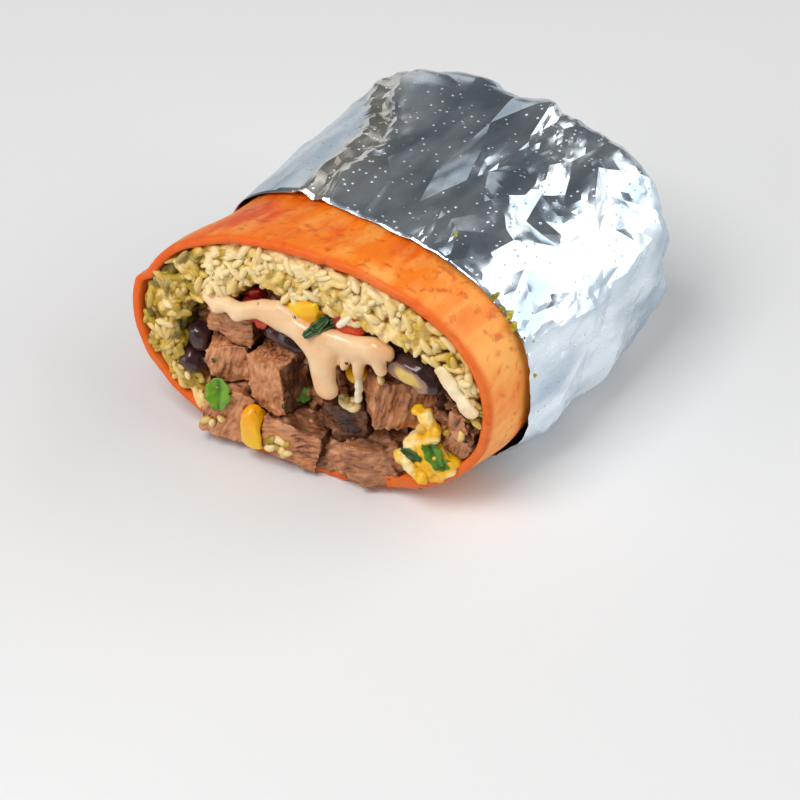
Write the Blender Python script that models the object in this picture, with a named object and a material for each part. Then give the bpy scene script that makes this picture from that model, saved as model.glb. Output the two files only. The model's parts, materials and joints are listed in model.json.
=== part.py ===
"""Half of a burrito, cut across and still wrapped in foil, lying on its side.

Metres, +Z up. The half lies along Y, with its cut face towards -Y and its closed, wrapped end
towards +Y. The origin is at the bottom centre of its box.

Every section is drawn round a centre that follows the roll, as radii at evenly spaced angles, so
that the foil, the tortilla, the rice and the filling nest with a thin gap between them. The
pieces that show at the cut stand in a hollow in the front of the filling.
"""

import math

import bmesh
import bpy
from mathutils import Euler, Vector, noise

MM = 0.001
GAP = 0.3 * MM

# The cut face: a slanting plane across the flared front of the roll.
CUT_Y = -35.5 * MM
CUT_HALF_WIDTH = 41.0 * MM
CUT_HALF_HEIGHT = 28.0 * MM
CUT_POWER = 2.2
CUT_CENTRE = Vector((-3.0 * MM, 28.0 * MM))
CUT_TURN = math.tan(math.radians(8.4))
CUT_LEAN = math.tan(math.radians(4.0))

# The wrapped body behind it, up to the rounded end.
FOIL_EDGE_Y = -17.0 * MM
BODY_HALF_WIDTH = 37.8 * MM
BODY_HALF_HEIGHT = 26.2 * MM
BODY_POWER = 2.6
BODY_CENTRE = Vector((0.0, 27.0 * MM))
SHOULDER_Y = 32.0 * MM
TIP_Y = 43.0 * MM
END_POWER = 2.5

# The foil: a crumpled wrap, fullest low on the side away from the fold.
FOIL_CLEAR = 0.4 * MM
FOIL_WALL = 0.9 * MM
FOIL_SPACING = 7.0 * MM
FOIL_CRUMPLE = 1.5 * MM
WIDE_FOLDS = 13.0 * MM
NARROW_FOLDS = 6.0 * MM
FOIL_SWELL = 2.2 * MM
SWELL_ANGLE = math.radians(-24.0)
SWELL_WIDTH = math.radians(30.0)
SWELL_Y = 10.0 * MM
SWELL_LENGTH = 22.0 * MM
END_FOLDS = 12.0 * MM

# The tortilla: one rolled sheet, doubled where its end laps under.
TORTILLA_WALL = 2.0 * MM
TORTILLA_LAP = 1.6 * MM
LAP_ANGLE = math.radians(-48.0)
LAP_WIDTH = math.radians(20.0)
TORTILLA_END_WALL = 4.0 * MM
INNER_TIP_Y = TIP_Y - TORTILLA_END_WALL - GAP
RIM_REACH = 10.0 * MM

# The rice: a lining over the top and down both sides, thickest at its upper left.
RICE_FROM = math.radians(-9.0)
RICE_TO = math.radians(207.0)
CORE_RIGHT = 35.0 * MM
CORE_LEFT = 32.0 * MM
CORE_TOP = 14.5 * MM
CORE_BOTTOM = 24.0 * MM
CORE_POWER = 2.4
CLUMP_DEPTH = 4.0 * MM
CLUMP_ANGLE = math.radians(157.0)
CLUMP_WIDTH = math.radians(14.0)
RICE_ROUGHNESS = 0.9 * MM
RICE_LUMPS = 2.2
RICE_LUMP_LENGTH = 12.0 * MM
RICE_FRONT_LUMP = 4.0 * MM

# The filling: its front is a hollow that holds the pieces of the cut face.
HOLLOW_Y = CUT_Y + 9.5 * MM
HOLLOW_ROUGHNESS = 1.6 * MM
HOLLOW_LUMP = 7.0 * MM
HOLLOW_RINGS = (0.3, 0.65)
FILLING_END_GAP = 0.2 * MM

STATIONS = (CUT_Y, HOLLOW_Y, FOIL_EDGE_Y, 0.0, 16.0 * MM, SHOULDER_Y)
SPOKES = 40
STEP = 2.0 * math.pi / SPOKES
END_SHARES = (0.35, 0.65, 0.86, 0.97)
PIECE_LUMP = 3.5 * MM

BEEF = {"slot": "beef", "roundness": 0.22, "roughness": 0.9 * MM}
BEAN = {"slot": "black_bean", "roundness": 1.0, "roughness": 0.1 * MM, "bend": 0.18}
CORN = {"slot": "corn", "roundness": 0.75, "roughness": 0.15 * MM, "taper": 0.35}
TOMATO = {"slot": "tomato", "roundness": 0.45, "roughness": 0.4 * MM}
CHEESE = {"slot": "cheese", "roundness": 0.3, "roughness": 0.25 * MM}
MELT = {"slot": "melted_cheese", "roundness": 0.7, "roughness": 0.8 * MM}

# Pieces at the cut, in millimetres and degrees: name, kind, place across and up the face, how far
# the front stands ahead of the cut, size (across, deep, high), and turn (lean, roll, swing).
PIECES = (
    ("beef_c", BEEF, (-11.2, 20.4), 3.2, (10.5, 12.0, 15.0), (3, -3, -4)),
    ("beef_g", BEEF, (14.4, 23.0), 2.0, (14.5, 10.5, 14.0), (0, 3, 44)),
    ("beef_a", BEEF, (-22.0, 30.6), 0.8, (12.5, 9.5, 9.0), (6, 4, 5)),
    ("beef_b", BEEF, (-22.8, 20.9), 2.4, (10.0, 10.0, 10.5), (0, -12, 24)),
    ("beef_d", BEEF, (-21.6, 9.2), 5.0, (13.0, 13.0, 14.5), (-4, 8, 16)),
    ("beef_e", BEEF, (-6.0, 7.6), 4.6, (14.5, 12.5, 11.5), (0, 10, 12)),
    ("beef_f", BEEF, (3.8, 14.6), 1.0, (11.0, 10.0, 12.5), (5, 3, 18)),
    ("beef_h", BEEF, (14.0, 7.6), 3.4, (18.5, 12.0, 10.5), (0, -3, 12)),
    ("beef_i", BEEF, (31.2, 22.6), 0.8, (7.5, 8.4, 12.5), (0, 7, 4)),
    ("bean_open", BEAN, (20.0, 33.8), 2.0, (14.0, 7.5, 7.5), (0, 8, 0)),
    ("bean_centre", BEAN, (-10.8, 30.9), -0.2, (12.5, 6.5, 5.0), (0, 14, 0)),
    ("bean_left_low", BEAN, (-31.8, 16.6), 1.0, (8.0, 7.0, 6.0), (0, 20, 20)),
    ("bean_left_high", BEAN, (-30.2, 23.2), 0.2, (8.0, 6.0, 5.5), (0, 70, 10)),
    ("bean_top", BEAN, (-10.6, 41.4), -0.6, (8.0, 6.0, 5.4), (0, 30, 0)),
    ("corn_top", CORN, (-4.0, 40.4), 1.6, (9.0, 7.0, 9.5), (10, -20, 0)),
    ("corn_low", CORN, (-13.6, 9.2), 5.4, (6.0, 6.0, 12.0), (0, 176, 0)),
    ("corn_mid", CORN, (6.4, 27.6), -0.4, (5.0, 6.5, 5.0), (0, 15, 0)),
    ("tomato_left", TOMATO, (-16.8, 34.6), 0.4, (8.0, 6.0, 5.0), (0, 10, 10)),
    ("tomato_centre", TOMATO, (1.8, 35.6), 0.8, (7.0, 6.0, 5.5), (0, 30, 20)),
    ("tomato_right", TOMATO, (5.2, 41.4), 1.4, (7.0, 6.5, 6.0), (0, -20, 15)),
    ("pepper_top", TOMATO, (-18.4, 40.4), -1.0, (7.0, 6.0, 5.0), (0, 6, 0)),
    ("cheese_strip", CHEESE, (30.4, 34.6), 1.8, (3.6, 5.0, 13.5), (0, -42, 0)),
    ("melted_cheese", MELT, (25.2, 14.4), 3.0, (13.0, 9.0, 9.5), (0, 16, 8)),
)

# The creamy sauce, in millimetres: along each run, place across and up, ahead, width, thickness.
SAUCE_RUN = (
    ((-27.0, 36.2), 1.6, 4.0, 2.8),
    ((-22.5, 36.0), 2.4, 5.0, 3.4),
    ((-17.5, 36.8), 2.8, 6.5, 3.8),
    ((-11.5, 38.8), 3.2, 9.0, 4.0),
    ((-6.0, 38.2), 3.6, 8.0, 4.0),
    ((-1.0, 36.4), 4.2, 8.0, 4.2),
    ((1.8, 32.8), 4.8, 8.0, 4.2),
    ((2.4, 29.0), 5.0, 7.0, 4.0),
    ((3.0, 25.4), 5.0, 5.0, 3.6),
)
SAUCE_ARM = (
    ((-1.0, 37.4), 3.8, 7.0, 3.4),
    ((4.5, 37.2), 4.0, 7.6, 3.8),
    ((9.0, 37.2), 3.8, 8.0, 3.6),
    ((13.0, 37.2), 3.2, 6.5, 3.2),
    ((15.2, 36.0), 3.0, 4.5, 2.8),
)
SAUCE_SIDES = 8
SAUCE_TIP = 1.2 * MM

FINISHES = {
    "foil": ((0.80, 0.82, 0.85), 0.25, 1.0),
    "tortilla": ((0.80, 0.20, 0.03), 0.55, 0.0),
    "rice": ((0.62, 0.55, 0.28), 0.50, 0.0),
    "filling": ((0.16, 0.07, 0.04), 0.60, 0.0),
    "beef": ((0.30, 0.13, 0.08), 0.50, 0.0),
    "black_bean": ((0.03, 0.015, 0.02), 0.25, 0.0),
    "corn": ((0.90, 0.52, 0.02), 0.30, 0.0),
    "tomato": ((0.55, 0.04, 0.01), 0.30, 0.0),
    "cheese": ((0.85, 0.72, 0.48), 0.45, 0.0),
    "melted_cheese": ((0.90, 0.60, 0.10), 0.35, 0.0),
    "sauce": ((0.85, 0.55, 0.34), 0.25, 0.0),
}


def clear_scene():
    for old in list(bpy.data.objects):
        bpy.data.objects.remove(old, do_unlink=True)


def smooth(value):
    """A soft step from 0 to 1."""
    value = min(max(value, 0.0), 1.0)
    return value * value * (3.0 - 2.0 * value)


def bump(value, centre, width):
    """A bell of height 1 round a centre."""
    return math.exp(-(((value - centre) / width) ** 2))


def finish(slot):
    """The material of one kind of food or wrap."""
    material = bpy.data.materials.get(slot) or bpy.data.materials.new(slot)
    material.use_nodes = True
    color, roughness, metallic = FINISHES[slot]
    shader = material.node_tree.nodes["Principled BSDF"]
    shader.inputs["Base Color"].default_value = (*color, 1.0)
    shader.inputs["Roughness"].default_value = roughness
    shader.inputs["Metallic"].default_value = metallic
    return material


def add_piece(name, bm, slot):
    """A named object from a closed mesh, shaded smooth, with its faces turned out."""
    bmesh.ops.recalc_face_normals(bm, faces=bm.faces)
    mesh = bpy.data.meshes.new(name)
    bm.to_mesh(mesh)
    bm.free()
    mesh.materials.append(finish(slot))
    mesh.shade_smooth()
    piece = bpy.data.objects.new(name, mesh)
    bpy.context.scene.collection.objects.link(piece)
    return piece


def slant(x, z):
    """How far the cut plane lies behind CUT_Y at a point of the face."""
    return x * CUT_TURN + (z - CUT_CENTRE.y) * CUT_LEAN


def centre_at(y):
    flare = smooth((FOIL_EDGE_Y - y) / (FOIL_EDGE_Y - CUT_Y))
    return BODY_CENTRE.lerp(CUT_CENTRE, flare)


def roll_radius(angle, y):
    """From the section's centre to the outside of the tortilla, before the end closes."""
    flare = smooth((FOIL_EDGE_Y - y) / (FOIL_EDGE_Y - CUT_Y))
    half_width = BODY_HALF_WIDTH + (CUT_HALF_WIDTH - BODY_HALF_WIDTH) * flare
    half_height = BODY_HALF_HEIGHT + (CUT_HALF_HEIGHT - BODY_HALF_HEIGHT) * flare
    power = BODY_POWER + (CUT_POWER - BODY_POWER) * flare
    across = abs(math.cos(angle) / half_width) ** power
    up = abs(math.sin(angle) / half_height) ** power
    return (across + up) ** (-1.0 / power)


def wall_at(angle):
    """The tortilla's thickness, doubled softly where its end laps under."""
    return TORTILLA_WALL + TORTILLA_LAP * bump(angle_from(LAP_ANGLE, angle), 0.0, LAP_WIDTH)


def angle_from(start, angle):
    """The turn from one angle to another, between half a turn back and half a turn on."""
    return (angle - start + math.pi) % (2.0 * math.pi) - math.pi


def core_share(angle):
    """The part of the roll's inner radius that the filling takes up, with the rice outside it."""
    if angle > RICE_TO + STEP / 2:
        return 1.0
    half_width = CORE_RIGHT if math.cos(angle) > 0.0 else CORE_LEFT
    half_height = CORE_TOP if math.sin(angle) > 0.0 else CORE_BOTTOM
    across = abs(math.cos(angle) / half_width) ** CORE_POWER
    up = abs(math.sin(angle) / half_height) ** CORE_POWER
    radius = (across + up) ** (-1.0 / CORE_POWER)
    radius -= CLUMP_DEPTH * bump(angle, CLUMP_ANGLE, CLUMP_WIDTH)
    return radius / (roll_radius(angle, CUT_Y) - TORTILLA_WALL)


def section_point(angle, radius, y, floor=0.0):
    """A point at a radius in the section at y, lifted on to the level that it rests on."""
    centre = centre_at(y)
    x = centre.x + radius * math.cos(angle)
    z = max(centre.y + radius * math.sin(angle), floor)
    tilt = min(max((FOIL_EDGE_Y - y) / (FOIL_EDGE_Y - CUT_Y), 0.0), 1.0)
    return Vector((x, y + slant(x, z) * tilt, z))


def inner_radius(angle, y):
    return roll_radius(angle, y) - wall_at(angle)


def core_radius(angle, y):
    """The filling's outside, uneven under the rice and smooth where it meets the tortilla."""
    whole = inner_radius(angle, y) - GAP
    share = core_share(angle)
    if share >= 1.0:
        return whole
    spot = Vector((math.cos(angle), math.sin(angle), y / RICE_LUMP_LENGTH)) * RICE_LUMPS
    return min(inner_radius(angle, y) * share + RICE_ROUGHNESS * noise.noise(spot), whole)


def angles():
    return [RICE_FROM + STEP * index for index in range(SPOKES)]


def closed_end(radius_at, y_tip, thinner, floor):
    """Rings that close a surface over its rounded end, from the shoulder to the tip."""
    rings = []
    for share in END_SHARES:
        scale = (1.0 - share**END_POWER) ** (1.0 / END_POWER)
        y = SHOULDER_Y + (y_tip - SHOULDER_Y) * share
        rings.append(
            [
                section_point(a, radius_at(a, SHOULDER_Y, scale) - thinner, y, floor)
                for a in angles()
            ]
        )
    return rings


def loft(bm, rings, first_tip=None, last_tip=None):
    """Skin between closed rings of points, closed by a tip at either end where one is given."""
    rows = [[bm.verts.new(point) for point in ring] for ring in rings]
    count = len(rings[0])
    for low, high in zip(rows, rows[1:]):
        for index in range(count):
            after = (index + 1) % count
            bm.faces.new((low[index], low[after], high[after], high[index]))
    for row, tip in ((rows[0], first_tip), (rows[-1], last_tip)):
        if tip is None:
            continue
        point = bm.verts.new(tip)
        for index in range(count):
            bm.faces.new((row[index], row[(index + 1) % count], point))
    return rows


def tip_point(y):
    return Vector((BODY_CENTRE.x, y, BODY_CENTRE.y))


def tortilla_shape(reach):
    """The rolled sheet, open at the cut and folded shut at its end, thickened outward by a reach."""
    outside = []
    inside = []
    for y in STATIONS:
        outside.append([section_point(a, roll_radius(a, y) + reach, y, -reach) for a in angles()])
        inside.append([section_point(a, inner_radius(a, y), y) for a in angles()])
    outer_end = closed_end(lambda a, y, s: roll_radius(a, y) * s + reach, TIP_Y + reach, 0.0, -reach)
    inner_tip = TIP_Y - TORTILLA_END_WALL
    inner_end = closed_end(lambda a, y, s: inner_radius(a, y) * s, inner_tip, 0.0, 0.0)
    rings = outer_end[::-1] + outside[::-1] + inside + inner_end
    bm = bmesh.new()
    loft(bm, rings, tip_point(TIP_Y + reach), tip_point(inner_tip))
    return bm


def crumple(angle, y):
    """How far the foil's outside stands off: folds and facets, and a fuller lower side."""
    spot = Vector((BODY_HALF_WIDTH * math.cos(angle), y, BODY_HALF_HEIGHT * math.sin(angle)))
    folds = abs(noise.noise(spot / WIDE_FOLDS)) + abs(noise.noise(spot / NARROW_FOLDS)) / 2
    swell = bump(angle_from(SWELL_ANGLE, angle), 0.0, SWELL_WIDTH) * bump(y, SWELL_Y, SWELL_LENGTH)
    return FOIL_CRUMPLE * folds + FOIL_SWELL * swell


def make_foil():
    """A crumpled wrap over the back of the roll, gathered round its end."""
    count = round((SHOULDER_Y - FOIL_EDGE_Y) / FOIL_SPACING)
    stations = [FOIL_EDGE_Y + (SHOULDER_Y - FOIL_EDGE_Y) * i / count for i in range(count + 1)]
    wall = FOIL_CLEAR + FOIL_WALL
    floor = FOIL_WALL / 2
    outside = []
    inside = []
    for y in stations:
        outer = [roll_radius(a, y) + wall + crumple(a, y) for a in angles()]
        outside.append([section_point(a, r, y) for a, r in zip(angles(), outer)])
        inside.append([section_point(a, roll_radius(a, y) + FOIL_CLEAR, y, floor) for a in angles()])
    outer_tip = TIP_Y + wall
    inner_tip = TIP_Y + FOIL_CLEAR
    outer_end = closed_end(
        lambda a, y, s: roll_radius(a, y) * s + crumple(a, y + END_FOLDS * (1 - s)),
        outer_tip,
        -wall,
        0.0,
    )
    inner_end = closed_end(lambda a, y, s: roll_radius(a, y) * s, inner_tip, -FOIL_CLEAR, floor)
    rings = outer_end[::-1] + outside[::-1] + inside + inner_end
    bm = bmesh.new()
    loft(bm, rings, tip_point(outer_tip), tip_point(inner_tip))
    return add_piece("foil", bm, "foil")


def face_point(x, z, ahead):
    """A point of the cut face, standing ahead of it."""
    return Vector((x, CUT_Y + slant(x, z) - ahead, z))


def make_filling():
    """The core of beef and beans, hollow at its front and running through to the closed end."""
    bm = bmesh.new()
    sides = [[section_point(a, core_radius(a, y), y) for a in angles()] for y in STATIONS[1:]]
    centre = sum(sides[0], Vector()) / SPOKES
    fronts = []
    for share in HOLLOW_RINGS:
        ring = [centre.lerp(point, share) for point in sides[0]]
        for point in ring:
            point.y += HOLLOW_ROUGHNESS * noise.noise(point / HOLLOW_LUMP)
        fronts.append(ring)
    end = closed_end(lambda a, y, s: core_radius(a, y) * s, INNER_TIP_Y, FILLING_END_GAP, 0.0)
    loft(bm, fronts + sides + end, centre, tip_point(INNER_TIP_Y))
    return add_piece("filling", bm, "filling")


def cap_arch(bm, ring, span, bulge):
    """Close the open end of an arch, whose ring runs along its inside and back outside."""
    inner = ring[:span]
    outer = ring[span:][::-1]
    ridge = []
    for low, high in zip(inner, outer):
        spot = (low.co + high.co) / 2
        spot.y -= bulge * RICE_ROUGHNESS * (0.5 + noise.noise(spot / RICE_FRONT_LUMP))
        ridge.append(bm.verts.new(spot))
    for index in range(span - 1):
        bm.faces.new((inner[index], inner[index + 1], ridge[index + 1], ridge[index]))
        bm.faces.new((ridge[index], ridge[index + 1], outer[index + 1], outer[index]))
    for index in (0, span - 1):
        bm.faces.new((inner[index], ridge[index], outer[index]))


def make_rice():
    """The lining of rice: a thick arch with an uneven front, running through to the end."""
    bm = bmesh.new()
    span = [a for a in angles() if a <= RICE_TO + 0.5 * STEP]
    stations = [(y, 1.0) for y in STATIONS]
    for share in END_SHARES[:3]:
        y = SHOULDER_Y + (INNER_TIP_Y - SHOULDER_Y) * share
        stations.append((y, (1.0 - share**END_POWER) ** (1.0 / END_POWER)))
    rows = []
    for y, scale in stations:
        low = [core_radius(a, min(y, SHOULDER_Y)) * scale + GAP for a in span]
        high = [inner_radius(a, min(y, SHOULDER_Y)) * scale - GAP for a in span]
        inner = [section_point(a, r, y) for a, r in zip(span, low)]
        outer = [section_point(a, r, y) for a, r in zip(span, high)]
        rows.append(inner + outer[::-1])
    skin = loft(bm, rows)
    cap_arch(bm, skin[0], len(span), 1.0)
    cap_arch(bm, skin[-1], len(span), 0.0)
    return add_piece("rice", bm, "rice")


def make_lump(name, kind, place, ahead, size, turn):
    """One piece of the cut face: a block rounded, bent or tapered into its own shape."""
    bm = bmesh.new()
    bmesh.ops.create_cube(bm, size=2.0)
    bmesh.ops.subdivide_edges(bm, edges=bm.edges, cuts=2, use_grid_fill=True)
    half = Vector(size) * MM / 2
    for vertex in bm.verts:
        ball = vertex.co.normalized()
        point = vertex.co.lerp(ball, kind["roundness"])
        point.x *= 1.0 + kind.get("taper", 0.0) * point.z
        point.z += kind.get("bend", 0.0) * (1.0 - 2.0 * point.x * point.x)
        vertex.co = Vector((point.x * half.x, point.y * half.y, point.z * half.z))
        seed = Vector((place[0], 0.0, place[1]))
        vertex.co += ball * kind["roughness"] * noise.noise(seed + vertex.co / PIECE_LUMP)
    lean, roll, swing = (math.radians(value) for value in turn)
    bmesh.ops.rotate(bm, verts=bm.verts, matrix=Euler((lean, roll, swing)).to_matrix())
    front = min(vertex.co.y for vertex in bm.verts)
    target = face_point(place[0] * MM, place[1] * MM, ahead * MM)
    bmesh.ops.translate(bm, verts=bm.verts, vec=target - Vector((0.0, front, 0.0)))
    return add_piece(name, bm, kind["slot"])


def ribbon(run):
    """A rounded strand of sauce through a run of places, closed at both ends."""
    bm = bmesh.new()
    stops = [(face_point(p[0] * MM, p[1] * MM, a * MM), w * MM, t * MM) for p, a, w, t in run]
    rings = []
    for index, (point, width, thick) in enumerate(stops):
        before = stops[max(index - 1, 0)][0]
        after = stops[min(index + 1, len(stops) - 1)][0]
        along = (after - before).normalized()
        side = along.cross(Vector((0.0, -1.0, 0.0))).normalized()
        out = side.cross(along).normalized()
        middle = point - Vector((0.0, -thick / 2, 0.0))
        ring = []
        for corner in range(SAUCE_SIDES):
            turn = 2.0 * math.pi * corner / SAUCE_SIDES
            ring.append(middle + side * width / 2 * math.cos(turn) + out * thick / 2 * math.sin(turn))
        rings.append(ring)
    ends = []
    for ring, inner in ((rings[0], rings[1]), (rings[-1], rings[-2])):
        middle = sum(ring, Vector()) / SAUCE_SIDES
        ahead = middle - sum(inner, Vector()) / SAUCE_SIDES
        ends.append(middle + ahead.normalized() * SAUCE_TIP)
    loft(bm, rings, ends[0], ends[1])
    return bm


def make_sauce():
    """One pour of sauce: the run that drips down, joined with the arm over the tomato."""
    sauce = add_piece("sauce", ribbon(SAUCE_RUN), "sauce")
    arm = add_piece("sauce_arm_guide", ribbon(SAUCE_ARM), "sauce")
    hide_guide(arm)
    join = sauce.modifiers.new("Arm", "BOOLEAN")
    join.operation = "UNION"
    join.object = arm
    return sauce


def hide_guide(guide):
    guide.hide_render = True
    guide.display_type = "WIRE"


def box_of(piece):
    points = [vertex.co for vertex in piece.data.vertices]
    low = Vector([min(point[i] for point in points) for i in range(3)])
    high = Vector([max(point[i] for point in points) for i in range(3)])
    return low, high


def near(piece, other):
    low_a, high_a = box_of(piece)
    low_b, high_b = box_of(other)
    return all(low_a[i] < high_b[i] + GAP and low_b[i] < high_a[i] + GAP for i in range(3))


def make_room(piece, neighbour):
    """Cut a piece back where a neighbour lies, by the neighbour's shape and a thin gap."""
    bm = bmesh.new()
    bm.from_mesh(neighbour.data)
    bm.normal_update()
    for vertex, normal in [(v, v.normal.copy()) for v in bm.verts]:
        vertex.co += normal * GAP * max(vertex.calc_shell_factor(), 1.0)
    slot = neighbour.data.materials[0].name
    guide = add_piece(piece.name + "_room_for_" + neighbour.name, bm, slot)
    hide_guide(guide)
    cut = piece.modifiers.new("Room for " + neighbour.name, "BOOLEAN")
    cut.operation = "DIFFERENCE"
    cut.object = guide


def centre_on_box():
    """Move every piece so that the origin is at the bottom centre of the whole half."""
    graph = bpy.context.evaluated_depsgraph_get()
    points = []
    for piece in bpy.data.objects:
        if not piece.hide_render:
            points.extend(vertex.co.copy() for vertex in piece.evaluated_get(graph).data.vertices)
    low = Vector([min(point[i] for point in points) for i in range(3)])
    high = Vector([max(point[i] for point in points) for i in range(3)])
    middle = Vector(((low.x + high.x) / 2, (low.y + high.y) / 2, low.z))
    for piece in bpy.data.objects:
        piece.location -= middle


def main():
    clear_scene()
    add_piece("tortilla", tortilla_shape(0.0), "tortilla")
    rim = add_piece("rim_guide", tortilla_shape(RIM_REACH), "tortilla")
    hide_guide(rim)
    make_foil()
    rice = make_rice()
    filling = make_filling()
    placed = [rim, rice, filling]
    for name, kind, place, ahead, size, turn in PIECES:
        piece = make_lump(name, kind, place, ahead, size, turn)
        for neighbour in placed:
            if near(piece, neighbour):
                make_room(piece, neighbour)
        placed.append(piece)
    sauce = make_sauce()
    for neighbour in placed:
        if near(sauce, neighbour):
            make_room(sauce, neighbour)
    centre_on_box()


main()
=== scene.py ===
import math
import random

import bmesh
import bpy
from mathutils import Matrix, Vector, bvhtree, geometry, kdtree, noise
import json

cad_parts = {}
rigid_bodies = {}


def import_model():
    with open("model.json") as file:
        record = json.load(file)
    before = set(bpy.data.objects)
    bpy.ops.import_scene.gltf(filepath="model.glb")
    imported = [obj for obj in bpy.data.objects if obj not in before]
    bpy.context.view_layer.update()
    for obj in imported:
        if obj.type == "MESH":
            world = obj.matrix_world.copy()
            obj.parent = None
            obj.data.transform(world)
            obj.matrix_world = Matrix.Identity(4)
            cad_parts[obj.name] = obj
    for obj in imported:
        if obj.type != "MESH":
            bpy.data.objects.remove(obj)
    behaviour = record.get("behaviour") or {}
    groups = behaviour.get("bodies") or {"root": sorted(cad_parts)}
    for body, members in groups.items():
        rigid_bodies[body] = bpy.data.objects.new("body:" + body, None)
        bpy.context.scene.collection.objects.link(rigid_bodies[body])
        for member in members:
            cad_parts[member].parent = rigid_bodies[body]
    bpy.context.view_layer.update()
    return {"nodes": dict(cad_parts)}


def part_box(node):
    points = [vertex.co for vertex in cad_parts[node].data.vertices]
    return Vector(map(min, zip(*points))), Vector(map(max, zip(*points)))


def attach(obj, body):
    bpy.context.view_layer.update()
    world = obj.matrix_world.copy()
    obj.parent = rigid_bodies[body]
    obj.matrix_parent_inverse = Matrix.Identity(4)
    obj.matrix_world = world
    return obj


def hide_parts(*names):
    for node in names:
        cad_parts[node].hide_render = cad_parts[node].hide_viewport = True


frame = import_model()

# Camera, light and floor. The half is seen from its front right and well above, under one soft
# lamp over the camera, a large one behind at the right for the foil, a low one and a fill at the left.
# The roll is worked out in millimetres in its own frame, which SHIFT takes to the part's.
MM = 0.001
LEFT_SIDE = -44.0
TIP = 43.0
TORTILLA_LOW, TORTILLA_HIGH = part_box("tortilla")
SHIFT = Vector((TORTILLA_LOW.x / MM - LEFT_SIDE, TORTILLA_HIGH.y / MM - TIP, 0.0))
VIEW_TURN = math.radians(35.3)
VIEW_RISE = math.radians(42.6)
VIEW_DISTANCE = 600.0
VIEW_AIM = Vector((0.0, 0.0, 27.0))
AIM_RIGHT = -4.5
AIM_UP = -25.3
LENS = 126.9
WORLD_GREY = 0.14
FLOOR_GREY = 0.78
FLOOR_HALF = 3.0

back = Vector(
    (
        math.sin(VIEW_TURN) * math.cos(VIEW_RISE),
        -math.cos(VIEW_TURN) * math.cos(VIEW_RISE),
        math.sin(VIEW_RISE),
    )
)
right = Vector((math.cos(VIEW_TURN), math.sin(VIEW_TURN), 0.0))
up = back.cross(right)
camera_data = bpy.data.cameras.new("camera")
camera_data.lens = LENS
camera_data.sensor_width = 36.0
camera_data.clip_start = 0.01
camera = bpy.data.objects.new("camera", camera_data)
bpy.context.scene.collection.objects.link(camera)
aim = VIEW_AIM + SHIFT + right * AIM_RIGHT + up * AIM_UP
turn = Matrix((right, up, back)).transposed().to_4x4()
camera.matrix_world = Matrix.Translation((aim + back * VIEW_DISTANCE) * MM) @ turn
bpy.context.scene.camera = camera


def grey(value):
    return (value, value, value, 1.0)


def add_lamp(name, place, size, power):
    """A white square soft lamp, turned to the food."""
    data = bpy.data.lights.new(name, "AREA")
    data.shape = "SQUARE"
    data.size = size
    data.energy = power
    lamp = bpy.data.objects.new(name, data)
    bpy.context.scene.collection.objects.link(lamp)
    lamp.location = Vector(place)
    lamp.rotation_euler = Vector(place).to_track_quat("Z", "Y").to_euler()


add_lamp("key", (-0.06, -0.42, 0.75), 0.42, 4.9)
add_lamp("side", (0.68, 0.54, 0.47), 1.35, 9.8)
add_lamp("rear", (-0.80, 0.62, 0.20), 0.60, 0.65)
add_lamp("fill", (-0.45, -0.70, 0.30), 0.50, 1.8)

world = bpy.data.worlds.new("studio")
world.use_nodes = True
sky = world.node_tree.nodes["Background"]
sky.inputs["Color"].default_value = grey(WORLD_GREY)
sky.inputs["Strength"].default_value = 1.0
bpy.context.scene.world = world
bpy.context.scene.view_settings.view_transform = "Standard"

floor_bm = bmesh.new()
bmesh.ops.create_grid(floor_bm, x_segments=1, y_segments=1, size=FLOOR_HALF)
floor_mesh = bpy.data.meshes.new("floor")
floor_bm.to_mesh(floor_mesh)
floor_bm.free()
floor = bpy.data.objects.new("floor", floor_mesh)
floor_paint = bpy.data.materials.new("floor")
floor_paint.use_nodes = True
floor_shader = floor_paint.node_tree.nodes["Principled BSDF"]
floor_shader.inputs["Base Color"].default_value = grey(FLOOR_GREY)
floor_shader.inputs["Roughness"].default_value = 0.7
floor_mesh.materials.append(floor_paint)
bpy.context.scene.collection.objects.link(floor)

# The tortilla: one soft wheat sheet rolled round the filling and cut straight through, flared and
# a little ragged at the cut, doubled where its end laps under. place() takes each finished piece
# from the roll's frame to the part's.
CUT_Y = -35.5
CUT_TURN = math.radians(8.4)
CUT_LEAN = math.radians(4.0)
FOIL_EDGE = -17.0
SHOULDER = 32.0
HALF_WIDTH = 37.8
HALF_HEIGHT = 26.2
FLARE_WIDTH = 3.2
FLARE_HEIGHT = 1.8
ROLL_POWER = 2.6
FLARE_POWER = 0.4
END_POWER = 2.5
CUT_MIDDLE = Vector((-3.0, 28.0))
ROLL_MIDDLE = Vector((0.0, 27.0))
WALL = 2.0
LAP = 1.6
LAP_TURN = math.radians(-48.0)
LAP_WIDTH = math.radians(20.0)
END_WALL = 4.0
SEAM_GAP = 0.002
FOLD_TURN = math.radians(168.0)
RIPPLE_START = -13.0
SHEET_AROUND = 300
END_SHARES = (0.2, 0.4, 0.6, 0.75, 0.86, 0.94, 0.985, 1.0)
OUTSIDE_ROWS = [SHOULDER, 22.0, 12.0, 2.0, -8.0] + [-14.0 - 0.7 * step for step in range(31)]
INSIDE_ROWS = [CUT_Y + 0.6 + 1.1 * step for step in range(12)] + [FOIL_EDGE, 0.0, 16.0, SHOULDER]
# Across the cut edge: each row's share of the wall, and how far it swells ahead.
EDGE_ROWS = ((0.06, 0.0), (0.2, 0.22), (0.5, 0.28), (0.8, 0.22), (0.94, 0.0))


def limit(value):
    return min(max(value, 0.0), 1.0)


def smooth(value):
    value = limit(value)
    return value * value * (3.0 - 2.0 * value)


def bell(value, width):
    return math.exp(-((value / width) ** 2))


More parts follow.
